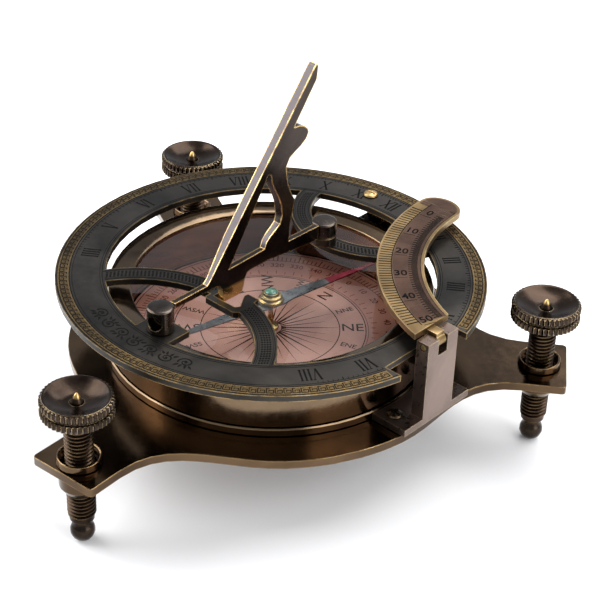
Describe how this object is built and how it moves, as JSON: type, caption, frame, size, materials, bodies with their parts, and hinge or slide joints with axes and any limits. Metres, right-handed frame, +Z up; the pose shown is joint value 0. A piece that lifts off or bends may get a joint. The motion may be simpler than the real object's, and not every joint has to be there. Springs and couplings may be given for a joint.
{
  "type": "garden sundial",
  "caption": "Antique-finish brass sundial compass: folding gnomon, hinged hour ring, latitude arc and glazed compass drum on an armed base plate with knurled levelling screws.",
  "frame": {"origin": "centre of the base plate's underside, on the common axis of the compass drum and the hour ring", "axes": "+Z up along the drum's axis, +Y towards the hour ring's hinge, +X towards the latitude arc's bracket"},
  "size_m": [0.1648, 0.1576, 0.1163],
  "materials": {
    "bronze_patina": "antique brown patina, semi-gloss, brass showing on worn edges",
    "dark_patina": "dark antique patina, polished",
    "slate_patina": "grey-black patina, satin, engraved",
    "worn_brass": "worn brass, satin",
    "copper_card": "pink copper tone, satin, printed",
    "blued_steel": "dark blue-grey, satin, one end red",
    "clear_glass": "clear, polished",
    "green_jewel": "translucent green, glossy"
  },
  "bodies": {
    "base": {"base_plate": "bronze_patina", "front_bush": "bronze_patina", "right_bush": "bronze_patina", "back_bush": "bronze_patina", "drum_base": "bronze_patina", "drum_wall": "bronze_patina", "cover_glass": "clear_glass", "bezel_ring": "dark_patina", "dial_card": "copper_card", "pivot_pin": "worn_brass", "hinge_block": "dark_patina", "hinge_pin": "worn_brass", "arc_bracket": "bronze_patina", "arc_hinge_pin": "worn_brass", "bracket_screw_front": "worn_brass", "bracket_screw_rear": "worn_brass"},
    "ring": {"hour_ring": "slate_patina", "south_post": "dark_patina", "north_post": "dark_patina", "hinge_leaf": "bronze_patina", "hinge_screw_west": "worn_brass", "hinge_screw_east": "worn_brass"},
    "gnomon_plate": {"gnomon": "dark_patina"},
    "arc": {"latitude_arc": "worn_brass"},
    "needle": {"compass_needle": "blued_steel", "needle_cap": "worn_brass", "cap_jewel": "green_jewel"},
    "front_foot": {"front_ball_foot": "dark_patina"},
    "front_screw": {"front_stud": "dark_patina", "front_knob": "bronze_patina"},
    "right_foot": {"right_ball_foot": "dark_patina"},
    "right_screw": {"right_stud": "dark_patina", "right_knob": "bronze_patina"},
    "back_foot": {"back_ball_foot": "dark_patina"},
    "back_screw": {"back_stud": "dark_patina", "back_knob": "bronze_patina"}
  },
  "joints": [
    {"name": "front_screw_travel", "type": "slide", "parent": "base", "child": "front_foot", "axis": [0, 0, 1], "range_m": [-0.0075, 0.0075]},
    {"name": "front_screw_turn", "type": "hinge", "parent": "front_foot", "child": "front_screw", "pos_m": [0.00517, -0.08224, 0.0218], "axis": [0, 0, 1], "range_deg": [-2200, 2200]},
    {"name": "right_screw_travel", "type": "slide", "parent": "base", "child": "right_foot", "axis": [0, 0, 1], "range_m": [-0.0075, 0.0075]},
    {"name": "right_screw_turn", "type": "hinge", "parent": "right_foot", "child": "right_screw", "pos_m": [0.06757, 0.0482, 0.0218], "axis": [0, 0, 1], "range_deg": [-2200, 2200]},
    {"name": "back_screw_travel", "type": "slide", "parent": "base", "child": "back_foot", "axis": [0, 0, 1], "range_m": [-0.0075, 0.0075]},
    {"name": "back_screw_turn", "type": "hinge", "parent": "back_foot", "child": "back_screw", "pos_m": [-0.07249, 0.03725, 0.0218], "axis": [0, 0, 1], "range_deg": [-2200, 2200]},
    {"name": "hour_ring_tilt", "type": "hinge", "parent": "base", "child": "ring", "pos_m": [0, 0.0594, 0.022], "axis": [-1, 0, 0], "range_deg": [0, 2]},
    {"name": "gnomon_fold", "type": "hinge", "parent": "ring", "child": "gnomon_plate", "pos_m": [0, 0, 0.0333], "axis": [0, -1, 0], "range_deg": [0, 90]},
    {"name": "latitude_arc_fold", "type": "hinge", "parent": "base", "child": "arc", "pos_m": [0.0604, 0.0046, 0.0291], "axis": [0, 1, 0], "range_deg": [0, 90]},
    {"name": "needle_spin", "type": "hinge", "parent": "base", "child": "needle", "pos_m": [0, 0, 0.0158], "axis": [0, 0, 1], "continuous": true}
  ],
  "couplings": [
    {"joint": "front_screw_turn", "follows": "front_screw_travel", "rad_per_m": 5026.5},
    {"joint": "right_screw_turn", "follows": "right_screw_travel", "rad_per_m": 5026.5},
    {"joint": "back_screw_turn", "follows": "back_screw_travel", "rad_per_m": 5026.5}
  ]
}
